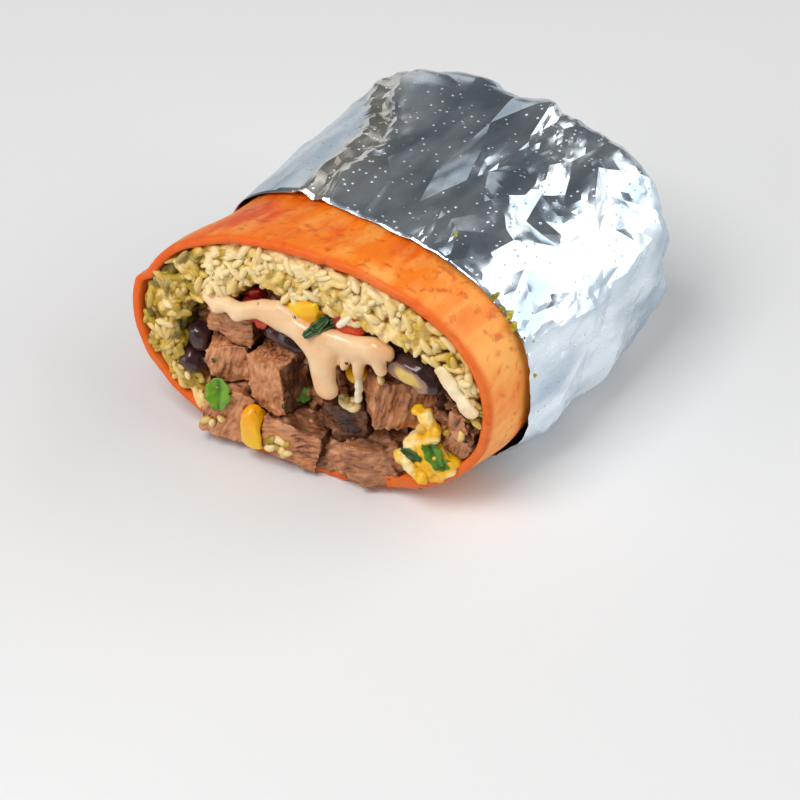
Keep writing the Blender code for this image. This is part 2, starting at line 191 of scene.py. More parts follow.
def turn_between(start, angle):
    return (angle - start + math.pi) % (2.0 * math.pi) - math.pi


def flare_at(y):
    return (FOIL_EDGE - y) / (FOIL_EDGE - CUT_Y)


def roll_radius(angle, y):
    """From the middle of the section at y to the outside of the tortilla."""
    flare = smooth(flare_at(y))
    half_width = HALF_WIDTH + FLARE_WIDTH * flare
    half_height = HALF_HEIGHT + FLARE_HEIGHT * flare
    power = ROLL_POWER - FLARE_POWER * flare
    across = abs(math.cos(angle) / half_width) ** power
    rise = abs(math.sin(angle) / half_height) ** power
    return (across + rise) ** (-1.0 / power)


def slant(x, z):
    """How far the cut face lies back at a place on it."""
    return x * math.tan(CUT_TURN) + (z - CUT_MIDDLE.y) * math.tan(CUT_LEAN)


def face_y(x, z):
    return CUT_Y + slant(x, z)


def section_point(angle, radius, y, floor_level=0.0):
    middle = ROLL_MIDDLE.lerp(CUT_MIDDLE, smooth(flare_at(y)))
    x = middle.x + radius * math.cos(angle)
    z = max(middle.y + radius * math.sin(angle), floor_level)
    return Vector((x, y + slant(x, z) * limit(flare_at(y)), z))


def end_section(angle, radius, share, tip):
    """A point on the rounded end, where a share of 1 is the tip itself."""
    scale = (1.0 - share**END_POWER) ** (1.0 / END_POWER)
    return section_point(angle, radius * scale, SHOULDER + (tip - SHOULDER) * share)


def wall_at(angle):
    return WALL + LAP * bell(turn_between(LAP_TURN, angle), LAP_WIDTH)


def inside_radius(angle):
    """From the middle of the cut to the inside of the tortilla."""
    return roll_radius(angle, CUT_Y) - wall_at(angle)


def wrap(rings):
    """A closed skin through rings of points, made from a grid whose seam and ends are merged."""
    bm = bmesh.new()
    count = len(rings[0])
    bmesh.ops.create_grid(bm, x_segments=count, y_segments=len(rings) - 1, size=1.0)
    bm.verts.ensure_lookup_table()
    for row, ring in enumerate(rings):
        for column in range(count + 1):
            bm.verts[row * (count + 1) + column].co = ring[column % count]
    bmesh.ops.remove_doubles(bm, verts=bm.verts, dist=SEAM_GAP)
    bmesh.ops.recalc_face_normals(bm, faces=bm.faces)
    return bm


def place(name, bm, material, sharp=None):
    """A finished piece: its mesh moved and scaled from the roll's millimetres to the part."""
    bmesh.ops.translate(bm, verts=bm.verts, vec=SHIFT)
    bmesh.ops.scale(bm, verts=bm.verts, vec=(MM, MM, MM))
    mesh = bpy.data.meshes.new(name)
    bm.to_mesh(mesh)
    bm.free()
    mesh.materials.append(material)
    mesh.shade_smooth()
    if sharp is not None:
        mesh.set_sharp_from_angle(angle=math.radians(sharp))
    piece = bpy.data.objects.new(name, mesh)
    bpy.context.scene.collection.objects.link(piece)
    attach(piece, "root")
    return piece


def ring_angles(count):
    return [2.0 * math.pi * index / count for index in range(count)]


def round_place(angle, y):
    """A place on a plain round roll, where the noises are read."""
    return Vector((38.0 * math.cos(angle), y, 27.0 * math.sin(angle)))


def sheet_ripple(angle, y):
    """The sheet's soft waves, blisters and the fold at its upper left."""
    point = round_place(angle, y)
    waves = 0.45 * noise.noise(point / 13.0) + 0.16 * noise.noise(point / 4.5)
    blisters = 0.22 * max(noise.noise(point / 2.6 + Vector((9.0, 0.0, 0.0))) - 0.12, 0.0)
    front = smooth((-24.0 - y) / 9.0)
    fold = smooth(turn_between(math.radians(166.5), angle) / math.radians(4.0)) - 0.55
    fold *= 2.0 * front * bell(turn_between(FOLD_TURN, angle), math.radians(14.0))
    return waves + blisters + fold


def cut_ragged(angle):
    point = round_place(angle, 0.0)
    return 0.35 * noise.noise(point / 3.0) + 0.5 * noise.noise(point / 9.0)


def skin_radius(angle, y):
    """From the middle of the section to the outside of the rippled sheet."""
    return roll_radius(angle, y) + smooth((RIPPLE_START - y) / 3.0) * sheet_ripple(angle, y)


def edge_ring(around, share, ahead):
    """A row across the cut edge, with a groove where the sheet lies double."""
    ring = []
    for angle in around:
        wall = wall_at(angle)
        groove = 1.1 * bell(abs(share * wall - 2.1), 0.35) * smooth((wall - 2.6) / 0.5)
        point = section_point(angle, skin_radius(angle, CUT_Y) - share * wall, CUT_Y)
        point.y += cut_ragged(angle) - ahead + groove
        ring.append(point)
    return ring


def tortilla_rings():
    around = ring_angles(SHEET_AROUND)
    rings = []
    for share in reversed(END_SHARES):
        rings.append([end_section(a, roll_radius(a, SHOULDER), share, TIP) for a in around])
    for y in OUTSIDE_ROWS:
        rings.append([section_point(a, skin_radius(a, y), y) for a in around])
    for share, ahead in EDGE_ROWS:
        rings.append(edge_ring(around, share, ahead))
    for y in INSIDE_ROWS:
        rings.append([section_point(a, skin_radius(a, y) - wall_at(a), y) for a in around])
    for share in END_SHARES:
        inner = [(a, roll_radius(a, SHOULDER) - wall_at(a)) for a in around]
        rings.append([end_section(a, radius, share, TIP - END_WALL) for a, radius in inner])
    return rings


def tone(red, green, blue):
    """A colour named by its sRGB values from 0 to 255, as the shaders' linear values."""
    linear = []
    for value in (red, green, blue):
        value /= 255.0
        linear.append(value / 12.92 if value <= 0.04045 else ((value + 0.055) / 1.055) ** 2.4)
    return (*linear, 1.0)


def new_shader(name, roughness, metallic=0.0):
    """A material with a Principled shader, its nodes and the links to add to."""
    material = bpy.data.materials.new(name)
    material.use_nodes = True
    shader = material.node_tree.nodes["Principled BSDF"]
    shader.inputs["Roughness"].default_value = roughness
    shader.inputs["Metallic"].default_value = metallic
    return material, shader


def link(material, start, end):
    material.node_tree.links.new(start, end)


def pattern(material, scale, detail=3.0, stretch=(1.0, 1.0, 1.0), offset=0.0, kind="ShaderNodeTexNoise"):
    """A noise whose features repeat about every 1/scale metres, read in the piece's own place."""
    nodes = material.node_tree.nodes
    coordinates = nodes.new("ShaderNodeTexCoord")
    mapping = nodes.new("ShaderNodeMapping")
    mapping.inputs["Location"].default_value = (offset, offset * 0.7, offset * 1.3)
    mapping.inputs["Scale"].default_value = stretch
    texture = nodes.new(kind)
    texture.inputs["Scale"].default_value = scale
    if kind == "ShaderNodeTexNoise":
        texture.inputs["Detail"].default_value = detail
    link(material, coordinates.outputs["Object"], mapping.inputs["Vector"])
    link(material, mapping.outputs["Vector"], texture.inputs["Vector"])
    return texture


def ramp(material, source, stops):
    """Colours or greys along a value from 0 to 1."""
    node = material.node_tree.nodes.new("ShaderNodeValToRGB")
    elements = node.color_ramp.elements
    while len(elements) < len(stops):
        elements.new(0.5)
    for element, (position, color) in zip(elements, stops):
        element.position = position
        element.color = color
    link(material, source, node.inputs["Fac"])
    return node.outputs["Color"]


def mixed(material, factor, first, second, mode="MIX"):
    node = material.node_tree.nodes.new("ShaderNodeMix")
    node.data_type = "RGBA"
    node.blend_type = mode
    for value, socket in ((factor, node.inputs[0]), (first, node.inputs[6]), (second, node.inputs[7])):
        if isinstance(value, bpy.types.NodeSocket):
            link(material, value, socket)
        else:
            socket.default_value = value
    return node.outputs[2]


def add_bump(material, shader, source, strength, distance):
    node = material.node_tree.nodes.new("ShaderNodeBump")
    node.inputs["Strength"].default_value = strength
    node.inputs["Distance"].default_value = distance
    link(material, source, node.inputs["Height"])
    link(material, node.outputs["Normal"], shader.inputs["Normal"])


def soften(shader, weight, radius, scale):
    """Light that spreads a little way under a moist surface."""
    shader.inputs["Subsurface Weight"].default_value = weight
    shader.inputs["Subsurface Radius"].default_value = radius
    shader.inputs["Subsurface Scale"].default_value = scale


def attribute(material, name):
    node = material.node_tree.nodes.new("ShaderNodeAttribute")
    node.attribute_name = name
    return node


def paint_rim(bm):
    """Mark the cut edge and the sheet's inside, which are moister and deeper in colour, and the roll's
    right side, which is painted paler as painted light from the right.
    """
    layer = bm.verts.layers.float.new("rim")
    side = bm.verts.layers.float.new("side")
    for vertex in bm.verts:
        middle = ROLL_MIDDLE.lerp(CUT_MIDDLE, smooth(flare_at(vertex.co.y)))
        across = vertex.co.x - middle.x
        rise = vertex.co.z - middle.y
        angle = math.atan2(rise, across)
        depth = roll_radius(angle, vertex.co.y) - math.hypot(across, rise)
        behind = vertex.co.y - CUT_Y - slant(vertex.co.x, vertex.co.z)
        vertex[layer] = max(1.0 - smooth((behind - 0.2) / 1.6), smooth((depth - 1.4) / 0.5))
        # The roll's right side, marked to be painted paler: painted light from the right.
        vertex[side] = smooth((math.cos(angle) - 0.45) / 0.5)


TORTILLA_ORANGE = tone(242, 122, 18)
TORTILLA_PALE = tone(248, 172, 84)
TORTILLA_RED = tone(226, 78, 4)
TORTILLA_DEEP = tone(196, 66, 8)
TORTILLA_EDGE = tone(226, 92, 18)

tortilla_skin, shader = new_shader("tortilla", 0.5)
shader.inputs["Specular IOR Level"].default_value = 0.3
patches = pattern(tortilla_skin, 90.0, 6.0, (1.0, 0.6, 1.0)).outputs["Fac"]
base = ramp(
    tortilla_skin,
    patches,
    [(0.34, TORTILLA_RED), (0.47, TORTILLA_ORANGE), (0.55, TORTILLA_ORANGE), (0.68, TORTILLA_PALE)],
)
streaks = pattern(tortilla_skin, 330.0, 4.0, (1.0, 0.28, 1.0), offset=0.5).outputs["Fac"]
streak_mask = ramp(tortilla_skin, streaks, [(0.46, grey(0.0)), (0.68, grey(0.5))])
base = mixed(tortilla_skin, streak_mask, base, TORTILLA_PALE)
# Painted light: the right side of the roll is painted paler along its streaks, as if lit from the right.
right_side_painted_light = mixed(tortilla_skin, 1.0, attribute(tortilla_skin, "side").outputs["Color"], streaks, "MULTIPLY")
base = mixed(tortilla_skin, right_side_painted_light, base, TORTILLA_PALE)
flecks = pattern(tortilla_skin, 420.0, 3.0, offset=0.3).outputs["Fac"]
fleck_mask = ramp(tortilla_skin, flecks, [(0.56, grey(0.0)), (0.70, grey(0.6))])
base = mixed(tortilla_skin, fleck_mask, base, TORTILLA_DEEP)
rim_mask = mixed(tortilla_skin, 0.75, grey(0.0), attribute(tortilla_skin, "rim").outputs["Color"])
base = mixed(tortilla_skin, rim_mask, base, TORTILLA_EDGE)
link(tortilla_skin, base, shader.inputs["Base Color"])
add_bump(tortilla_skin, shader, pattern(tortilla_skin, 500.0, 4.0).outputs["Fac"], 0.3, 0.0004)
soften(shader, 0.12, (0.9, 0.35, 0.12), 0.002)

sheet = wrap(tortilla_rings())
paint_rim(sheet)
tortilla = place("tortilla_sheet", sheet, tortilla_skin)
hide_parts("tortilla")

# The foil: one thin sheet wrapped round the back of the roll and gathered over its end, smooth
# where it was pulled tight at the upper left and crumpled into sharp facets on the right.
FOIL_ROUND = 205.0
FOIL_LENGTH = SHOULDER - FOIL_EDGE
END_LENGTH = 30.0
FOIL_LIFT = 0.8
SMALL_FACET = 4.4
LARGE_FACET = 9.5
LONG_FACETS = (1.25, 0.8)
CREASE_DEPTHS = (0.30, 0.13, 0.05)
FOLD_HEIGHT = 1.25
FOLD_START = 124.0
FOLD_SWING = 19.0
EDGE_CORNERS = 38
END_CORNERS = 12
CORNER_TRIES = 5200
FACET_ANGLE = 9.0
FOIL_THICKNESS = 0.12
random.seed(14)


def tight_at(angle, y):
    """1 where the sheet was pulled smooth over the upper left, 0 where it is crumpled."""
    top = smooth((angle - math.radians(62.0)) / math.radians(34.0))
    top *= smooth((math.radians(176.0) - angle) / math.radians(26.0))
    top *= 1.0 - 0.3 * smooth((angle - math.radians(128.0)) / math.radians(8.0))
    return top * smooth((44.0 - y) / 12.0)


def foil_angle(u):
    return 2.0 * math.pi * u / FOIL_ROUND - math.pi / 2.0


def foil_point(u, v, height):
    """A place on the wrap: u round it from underneath, v from its edge to the closed end's middle."""
    angle = foil_angle(u)
    closing = limit((v - FOIL_LENGTH) / END_LENGTH) * math.pi / 2.0
    low_side = bell(turn_between(math.radians(-24.0), angle), math.radians(30.0))
    y = min(FOIL_EDGE + v, SHOULDER)
    radius = roll_radius(angle, y) + FOIL_LIFT + 2.2 * low_side * bell(y - 10.0, 22.0)
    if closing == 0.0:
        point = section_point(angle, radius, y, 0.1)
    else:
        point = end_section(angle, radius, math.sin(closing) ** 0.8, TIP + FOIL_LIFT)
    level = math.cos(closing)
    outward = Vector((math.cos(angle) * level, math.sin(closing), math.sin(angle) * level))
    return point + outward * height


def fold_offset(u, v):
    """How far, round the roll, a place is from the overlapped fold at the upper left."""
    y = FOIL_EDGE + v
    line = math.radians(FOLD_START + FOLD_SWING * smooth((y - 2.0) / 28.0))
    wander = 1.6 * noise.noise(Vector((v / 7.0, 3.0, 0.0)))
    wander += 0.7 * noise.noise(Vector((v / 2.5, 8.0, 0.0)))
    return turn_between(line, foil_angle(u)) * 32.0 + wander


def foil_spots():
    """The corners of the facets: scattered, close together where the foil is crumpled."""
    spots = []
    for v in range(0, 80, 5):
        spots.extend([(0.0, v, 0.0), (FOIL_ROUND, v, 0.0)])
    for step in range(1, EDGE_CORNERS):
        u = FOIL_ROUND * (step + random.uniform(-0.3, 0.3)) / EDGE_CORNERS
        spots.append((u, 0.0, random.uniform(0.0, 0.7)))
    for step in range(END_CORNERS):
        spots.append((FOIL_ROUND * step / (END_CORNERS - 1), FOIL_LENGTH + END_LENGTH, 0.4))
    for _ in range(CORNER_TRIES):
        u = random.uniform(3.0, FOIL_ROUND - 3.0)
        v = random.uniform(3.0, FOIL_LENGTH + END_LENGTH - 4.0)
        tight = tight_at(foil_angle(u) % (2.0 * math.pi), FOIL_EDGE + v)
        tight *= 1.0 - 0.8 * bell(fold_offset(u, v) + 2.0, 6.0)
        apart = SMALL_FACET + (LARGE_FACET - SMALL_FACET) * tight + random.uniform(0.0, 2.0)
        closed = 1.0 - 0.6 * smooth((v - FOIL_LENGTH) / END_LENGTH)
        across, along = LONG_FACETS
        if all(math.hypot((u - a) * across * closed, (v - b) * along) > apart for a, b, _ in spots):
            height = random.random() ** 1.3 * (3.1 - 2.85 * tight)
            spots.append((u, v, height))
    return spots


def foil_sheet():
    """Facets between the scattered corners, creased again three times, wrapped round the roll."""
    spots = foil_spots()
    across, along = LONG_FACETS
    flat = [Vector((u * across, v * along)) for u, v, _ in spots]
    _, _, faces, source, _, _ = geometry.delaunay_2d_cdt(flat, [], [], 0, 0.001)
    order = [spots[indices[0]] for indices in source]
    mesh = bpy.data.meshes.new("facets")
    mesh.from_pydata(order, [], faces)
    bm = bmesh.new()
    bm.from_mesh(mesh)
    for depth in CREASE_DEPTHS:
        old = set(bm.verts)
        bmesh.ops.subdivide_edges(bm, edges=bm.edges, cuts=1, use_grid_fill=True)
        for vertex in bm.verts:
            if vertex not in old and vertex.co.x % FOIL_ROUND > 0.01:
                tight = tight_at(foil_angle(vertex.co.x) % (2.0 * math.pi), FOIL_EDGE + vertex.co.y)
                near_fold = bell(fold_offset(vertex.co.x, vertex.co.y) + 1.0, 3.5)
                amount = max(1.0 - 0.86 * tight, 2.4 * near_fold)
                if random.random() < 0.6:
                    vertex.co.z += depth * amount * random.uniform(-1.4, 1.4)
    # The band beside the overlapped fold is marked for a painted warm highlight, a painted reflection on
    # the metal.
    warm = bm.verts.layers.float.new("warm")
    for vertex in bm.verts:
        u, v, height = vertex.co
        offset = fold_offset(u, v)
        front = smooth((FOIL_LENGTH + 8.0 - v) / 10.0)
        ridge = FOLD_HEIGHT * bell(offset, 1.2) + 0.5 * bell(offset + 4.6, 1.1) + 0.4 * smooth(offset / 1.5)
        ridge *= front * smooth((170.0 - math.degrees(foil_angle(u))) / 20.0)
        vertex[warm] = front * bell(offset + 1.5, 3.6)
        vertex.co = foil_point(u, v, height + ridge)
        vertex.co.z = max(vertex.co.z, 0.0)
    bmesh.ops.remove_doubles(bm, verts=bm.verts, dist=0.01)
    bmesh.ops.recalc_face_normals(bm, faces=bm.faces)
    return bm


# The foil's colours are its metal grey tinted blue: the blue is a painted reflection of cool surroundings.
FOIL_BRIGHT = tone(234, 244, 252)
FOIL_DULL = tone(182, 199, 214)
# A pale warm colour for the painted highlight along the overlapped fold.
FOIL_PAINTED_GLINT = tone(255, 238, 206)

foil_metal, shader = new_shader("foil", 0.2, 1.0)
rolling = pattern(foil_metal, 110.0, 5.0, (1.0, 0.45, 1.0)).outputs["Fac"]
metal = ramp(foil_metal, rolling, [(0.36, FOIL_DULL), (0.62, FOIL_BRIGHT)])
# Painted highlight: the band by the fold is tinted warm in the metal's own colour.
painted_glint_mask = mixed(foil_metal, 0.5, grey(0.0), attribute(foil_metal, "warm").outputs["Color"])
link(foil_metal, mixed(foil_metal, painted_glint_mask, metal, FOIL_PAINTED_GLINT), shader.inputs["Base Color"])
dots = pattern(foil_metal, 560.0, kind="ShaderNodeTexVoronoi").outputs["Distance"]
dot_mask = ramp(foil_metal, dots, [(0.10, grey(1.0)), (0.17, grey(0.0))])
gloss = ramp(foil_metal, rolling, [(0.3, grey(0.17)), (0.7, grey(0.3))])
link(foil_metal, mixed(foil_metal, dot_mask, gloss, grey(0.75)), shader.inputs["Roughness"])
add_bump(foil_metal, shader, dot_mask, 0.5, 0.0002)

foil = place("foil_wrap", foil_sheet(), foil_metal, sharp=FACET_ANGLE)
thickness = foil.modifiers.new("Thickness", "SOLIDIFY")
thickness.thickness = FOIL_THICKNESS * MM
thickness.offset = -1.0
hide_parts("foil")

# The filling: a moist, dark mass of shredded beef and juice behind the pieces of the cut face,
# seen in the gaps between them.
FILLING_FRONT = -20.0
CORNER_GAP = 0.000005
random.seed(21)


def from_node(name, voxel, smoothing):
    """An even mesh, in the roll's millimetres, made over the solid of a CAD node."""
    bm = bmesh.new()
    bm.from_mesh(frame["nodes"][name].data)
    bmesh.ops.remove_doubles(bm, verts=bm.verts, dist=CORNER_GAP)
    bmesh.ops.scale(bm, verts=bm.verts, vec=(1.0 / MM, 1.0 / MM, 1.0 / MM))
    bmesh.ops.translate(bm, verts=bm.verts, vec=-SHIFT)
    return remeshed(bm, voxel, smoothing)


def remeshed(bm, voxel, smoothing):
    """The outside of a mesh as small even faces, with its corners softened."""
    mesh = bpy.data.meshes.new("raw")
    bm.to_mesh(mesh)
    bm.free()
    holder = bpy.data.objects.new("raw", mesh)
    bpy.context.scene.collection.objects.link(holder)
    remesh = holder.modifiers.new("Even faces", "REMESH")
    remesh.mode = "VOXEL"
    remesh.voxel_size = voxel
    soften_corners = holder.modifiers.new("Soft corners", "SMOOTH")
    soften_corners.iterations = smoothing
    graph = bpy.context.evaluated_depsgraph_get()
    even = bmesh.new()
    even.from_mesh(holder.evaluated_get(graph).to_mesh())
    bpy.data.objects.remove(holder, do_unlink=True)
    return even


def roughen(bm, folds):
    """Move the surface along its normals by noises, each of a size and a depth."""
    bm.normal_update()
    moves = []
    for vertex in bm.verts:
        amount = 0.0
        for size, depth in folds:
            amount += depth * noise.noise(Vector([value / size for value in vertex.co]))
        moves.append((vertex, vertex.normal * amount))
    for vertex, move in moves:
        vertex.co += move


core = from_node("filling", 0.9, 2)
for vertex in core.verts:
    if vertex.co.y < FILLING_FRONT:
        lumps = 2.2 * noise.noise(vertex.co / 5.0) + 1.2 * abs(noise.noise(vertex.co / 2.2))
        vertex.co.y -= lumps
FILLING_DARK = tone(44, 24, 16)
FILLING_BROWN = tone(104, 62, 42)
filling_mass, shader = new_shader("filling", 0.45)
mass_noise = pattern(filling_mass, 260.0, 5.0, (1.0, 1.0, 0.5)).outputs["Fac"]
mass_color = ramp(filling_mass, mass_noise, [(0.35, FILLING_DARK), (0.72, FILLING_BROWN)])
link(filling_mass, mass_color, shader.inputs["Base Color"])
add_bump(filling_mass, shader, mass_noise, 0.5, 0.0006)
filling = place("filling_mass", core, filling_mass)
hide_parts("filling")

# The rice: a heap of cooked grains stained yellow-green, over the top and down both sides. The
# core is the heap set back from the cut, and loose grains lie over its front and its inside.
GRAIN_LENGTH = 5.2
GRAIN_WIDTH = 1.75
RICE_LOW = math.radians(-1.0)
RICE_HIGH = math.radians(219.0)
RICE_THIN = math.radians(207.0)
RICE_SET_BACK = 4.4
CORE_POWER = 2.4
HEAP_LAYERS = ((4.0, 330), (2.6, 420), (1.4, 420), (0.5, 330))
LINING_GRAINS = 420
PASTE_LUMPS = 300
SMEAR_LUMPS = 12
LOOSE_GRAINS = 190
PASTE_SMEARS = (
    ((-12.4, 47.4), 3.2, 2.2),
    ((-16.6, 46.4), 2.2, 1.8),
    ((-3.6, 44.6), 2.2, 1.5),
    ((-34.8, 30.0), 2.4, 2.2),
    ((-31.4, 37.4), 2.0, 1.6),
    ((-35.5, 19.5), 2.0, 2.4),
    ((-31.6, 13.2), 2.4, 1.6),
    ((20.5, 41.5), 1.8, 1.6),
    ((28.3, 37.0), 1.8, 1.8),
    ((-22.0, 47.0), 2.4, 1.5),
    ((8.6, 46.6), 2.2, 1.4),
)


def core_radius(angle, y):
    """From the middle to the inside of the rice, as a share of the roll at the cut."""
    half_width = 35.0 if math.cos(angle) > 0.0 else 32.0
    half_height = 14.5 if math.sin(angle) > 0.0 else 24.0
    across = abs(math.cos(angle) / half_width) ** CORE_POWER
    rise = abs(math.sin(angle) / half_height) ** CORE_POWER
    radius = (across + rise) ** (-1.0 / CORE_POWER)
    radius -= 4.0 * bell(turn_between(math.radians(157.0), angle), math.radians(14.0))
    radius += 2.8 * bell(turn_between(math.radians(126.0), angle), math.radians(15.0))
    share = radius / (roll_radius(angle, CUT_Y) - WALL)
    return share * (roll_radius(angle, y) - wall_at(angle))


RICE_WHITE = tone(242, 216, 160)
RICE_CREAM = tone(228, 192, 108)
RICE_YELLOW = tone(196, 158, 28)
RICE_OLIVE = tone(112, 98, 18)

rice_flesh, shader = new_shader("rice", 0.36)
tint = attribute(rice_flesh, "tint").outputs["Fac"]
stain = ramp(
    rice_flesh,
    tint,
    [(0.0, RICE_WHITE), (0.34, RICE_CREAM), (0.68, RICE_YELLOW), (1.0, RICE_OLIVE)],
)
mottle = pattern(rice_flesh, 420.0, 3.0).outputs["Fac"]
mottle_mask = ramp(rice_flesh, mottle, [(0.46, grey(0.0)), (0.75, grey(0.5))])
stain = mixed(rice_flesh, mottle_mask, stain, RICE_WHITE)
link(rice_flesh, stain, shader.inputs["Base Color"])
soften(shader, 0.2, (1.0, 0.8, 0.5), 0.002)


def stain_at(x, z):
    """How yellow-green the rice is: most at the left and low right, least along the top."""
    value = 0.17 + 0.46 * smooth((-21.0 - x) / 12.0) + 0.30 * smooth((x - 14.0) / 10.0)
    return value + 0.75 * noise.noise(Vector((x / 5.5, 4.0, z / 5.5)))


def grain_shape():
    """One cooked grain, one unit long each way from its middle: a plump rod with blunt ends."""
    bm = bmesh.new()
    bmesh.ops.create_uvsphere(bm, u_segments=8, v_segments=7, radius=1.0)
    for vertex in bm.verts:
        blunt = 1.0 + 0.3 * vertex.co.z**2 * (1.0 - vertex.co.z**2)
        vertex.co.x *= blunt
        vertex.co.y *= blunt
    return taken(bm)


def taken(bm):
    """The points and faces of a small shape, to be copied many times."""
    points = [vertex.co.copy() for vertex in bm.verts]
    faces = [[vertex.index for vertex in face.verts] for face in bm.faces]
    bm.free()
    return points, faces


def meshed(points, faces, layer_name, values):
    """A mesh to work on, with a value for each of its points."""
    mesh = bpy.data.meshes.new(layer_name)
    mesh.from_pydata(points, [], faces)
    layer = mesh.attributes.new(layer_name, "FLOAT", "POINT")
    layer.data.foreach_set("value", values)
    bm = bmesh.new()
    bm.from_mesh(mesh)
    return bm


def copied(shape, copies, layer_name):
    """One mesh of many bent, turned copies of a small shape, each with its own value."""
    points, faces = shape
    all_points = []
    all_faces = []
    values = []
    for centre, way, half, bend, value in copies:
        swing = way.to_track_quat("Z", "Y").to_matrix()
        first = len(all_points)
        for point in points:
            spot = Vector((point.x * half.x, point.y * half.y, point.z * half.z))
            spot.x += bend * half.x * (1.0 - point.z * point.z)
            all_points.append(centre + swing @ spot)
        all_faces.extend([[first + index for index in face] for face in faces])
        values.extend([value] * len(points))
    return meshed(all_points, all_faces, layer_name, values)


def grain_at(centre, way, shade, length):
    size = random.uniform(0.85, 1.15)
    half = Vector((GRAIN_WIDTH * size, GRAIN_WIDTH * size * 0.88, GRAIN_LENGTH * length)) / 2.0
    return centre, way.normalized(), half, random.uniform(-0.6, 0.6), limit(shade)


def random_way(flat):
    return Vector((random.uniform(-1, 1), random.uniform(-flat, flat), random.uniform(-1, 1)))


def heap_copies():
    """Grains through the front of the heap, in layers, and over its inside."""
    grains = []
    for depth, count in HEAP_LAYERS:
        for _ in range(count):
            angle = random.uniform(RICE_LOW, RICE_HIGH)
            inner = core_radius(angle, CUT_Y) + 0.4
            outer = inside_radius(angle) - 1.0
            width = max(outer - inner, 0.2)
            if angle > RICE_THIN:
                width = min(width, 3.4)
                inner = outer - width
            if random.random() > (width + 2.0) / 14.0:
                continue
            radius = inner + width * random.random()
            centre = section_point(angle, radius, CUT_Y)
            patchy = 1.3 * noise.noise(Vector((centre.x / 4.5, 0.0, centre.z / 4.5)))
            centre.y = face_y(centre.x, centre.z) + depth + patchy + random.uniform(-0.5, 0.5)
            way = random_way(0.7)
            if min(radius - inner, outer - radius) < 1.4:
                way = Vector((-math.sin(angle), 0.0, math.cos(angle) * 0.8)) + way * 0.5
            shade = stain_at(centre.x, centre.z) + random.uniform(-0.16, 0.16) + 0.05 * depth
            grains.append(grain_at(centre, way, shade, random.uniform(0.6, 1.05)))
    for _ in range(LINING_GRAINS):
        angle = random.uniform(RICE_LOW, RICE_THIN)
        y = CUT_Y + random.uniform(1.0, 10.0)
        centre = section_point(angle, core_radius(angle, y) + random.uniform(-0.5, 0.8), y)
        centre.y = face_y(centre.x, centre.z) + (y - CUT_Y)
        way = Vector((-math.sin(angle), random.uniform(-1.0, 1.0), math.cos(angle)))
        shade = stain_at(centre.x, centre.z) + 0.22 + random.uniform(-0.15, 0.15)
        grains.append(grain_at(centre, way, shade, random.uniform(0.7, 1.0)))
    return grains


def paste_copies():
    """Soft lumps of herb paste deep between the grains, and smears of it over them."""
    lumps = []
    for _ in range(PASTE_LUMPS):
        angle = random.uniform(RICE_LOW, RICE_HIGH)
        outer = inside_radius(angle) - 1.0
        inner = max(core_radius(angle, CUT_Y) + 0.6, outer - 40.0)
        if angle > RICE_THIN:
            inner = outer - 3.0
        if random.random() > (outer - inner + 2.0) / 14.0:
            continue
        centre = section_point(angle, inner + (outer - inner) * random.random(), CUT_Y)
        centre.y = face_y(centre.x, centre.z) + random.uniform(2.6, 5.0)
        radius = random.uniform(1.0, 2.0)
        shade = limit(stain_at(centre.x, centre.z) + 0.3)
        lumps.append((centre, random_way(1.0).normalized(), Vector((radius, radius, radius)), 0.0, shade))
    for (x, z), radius, ahead in PASTE_SMEARS:
        for _ in range(SMEAR_LUMPS):
            across = x + random.uniform(-1.2, 1.2) * radius
            rise = z + random.uniform(-0.6, 0.6) * radius
            forward = ahead * random.uniform(0.3, 0.9)
            centre = Vector((across, face_y(across, rise) + 1.6 - forward, rise))
            half = Vector((radius * 0.3, radius * 0.4, radius * random.uniform(0.4, 0.7)))
            lumps.append((centre, random_way(0.3).normalized(), half, 0.0, 0.8))
    return lumps


def carry_values(bm, copies, name, gap_value):
    """Give each vertex the value of the copy it belongs to, and more in the gaps between them."""
    tree = kdtree.KDTree(len(copies) * 5)
    for index, (centre, way, half, _, _) in enumerate(copies):
        for step in range(5):
            reach = (step - 2) * 0.42 * half.z
            tree.insert(centre + way * reach, index)
    tree.balance()
    layer = bm.verts.layers.float.get(name) or bm.verts.layers.float.new(name)
    for vertex in bm.verts:
        _, index, distance = tree.find(vertex.co)
        _, _, half, _, value = copies[index]
        vertex[layer] = limit(value + gap_value * smooth((distance - half.x * 1.05) / 0.5))


rice_core = from_node("rice", 0.8, 2)
for vertex in rice_core.verts:
    if vertex.co.y < -22.0:
        vertex.co.y += RICE_SET_BACK
roughen(rice_core, [(2.4, 0.7), (1.1, 0.3)])
core_tint = rice_core.verts.layers.float.new("tint")
for vertex in rice_core.verts:
    vertex[core_tint] = limit(0.7 + 0.5 * noise.noise(vertex.co / 3.0))
rice_inside = place("rice_core", rice_core, rice_flesh)
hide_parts("rice")

grains = heap_copies()
lumps = paste_copies()
heap = remeshed(copied(grain_shape(), grains + lumps, "tint"), 0.31, 1)
carry_values(heap, grains + lumps, "tint", 0.36)
rice_front = place("rice_front", heap, rice_flesh)
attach(rice_front, "root")

loose = []
for _ in range(LOOSE_GRAINS):
    angle = random.uniform(RICE_LOW, math.radians(205.0))
    inner = core_radius(angle, CUT_Y) + 0.6
    outer = inside_radius(angle) - 1.2
    centre = section_point(angle, random.uniform(inner, outer), CUT_Y)
    centre.y = face_y(centre.x, centre.z) + random.uniform(-0.5, 0.9)
    shade = stain_at(centre.x, centre.z) - 0.2 + random.uniform(-0.1, 0.1)
    loose.append(grain_at(centre, random_way(0.35), shade, random.uniform(0.65, 1.0)))
loose_grains = place("rice_grains", copied(grain_shape(), loose, "tint"), rice_flesh)
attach(loose_grains, "root")

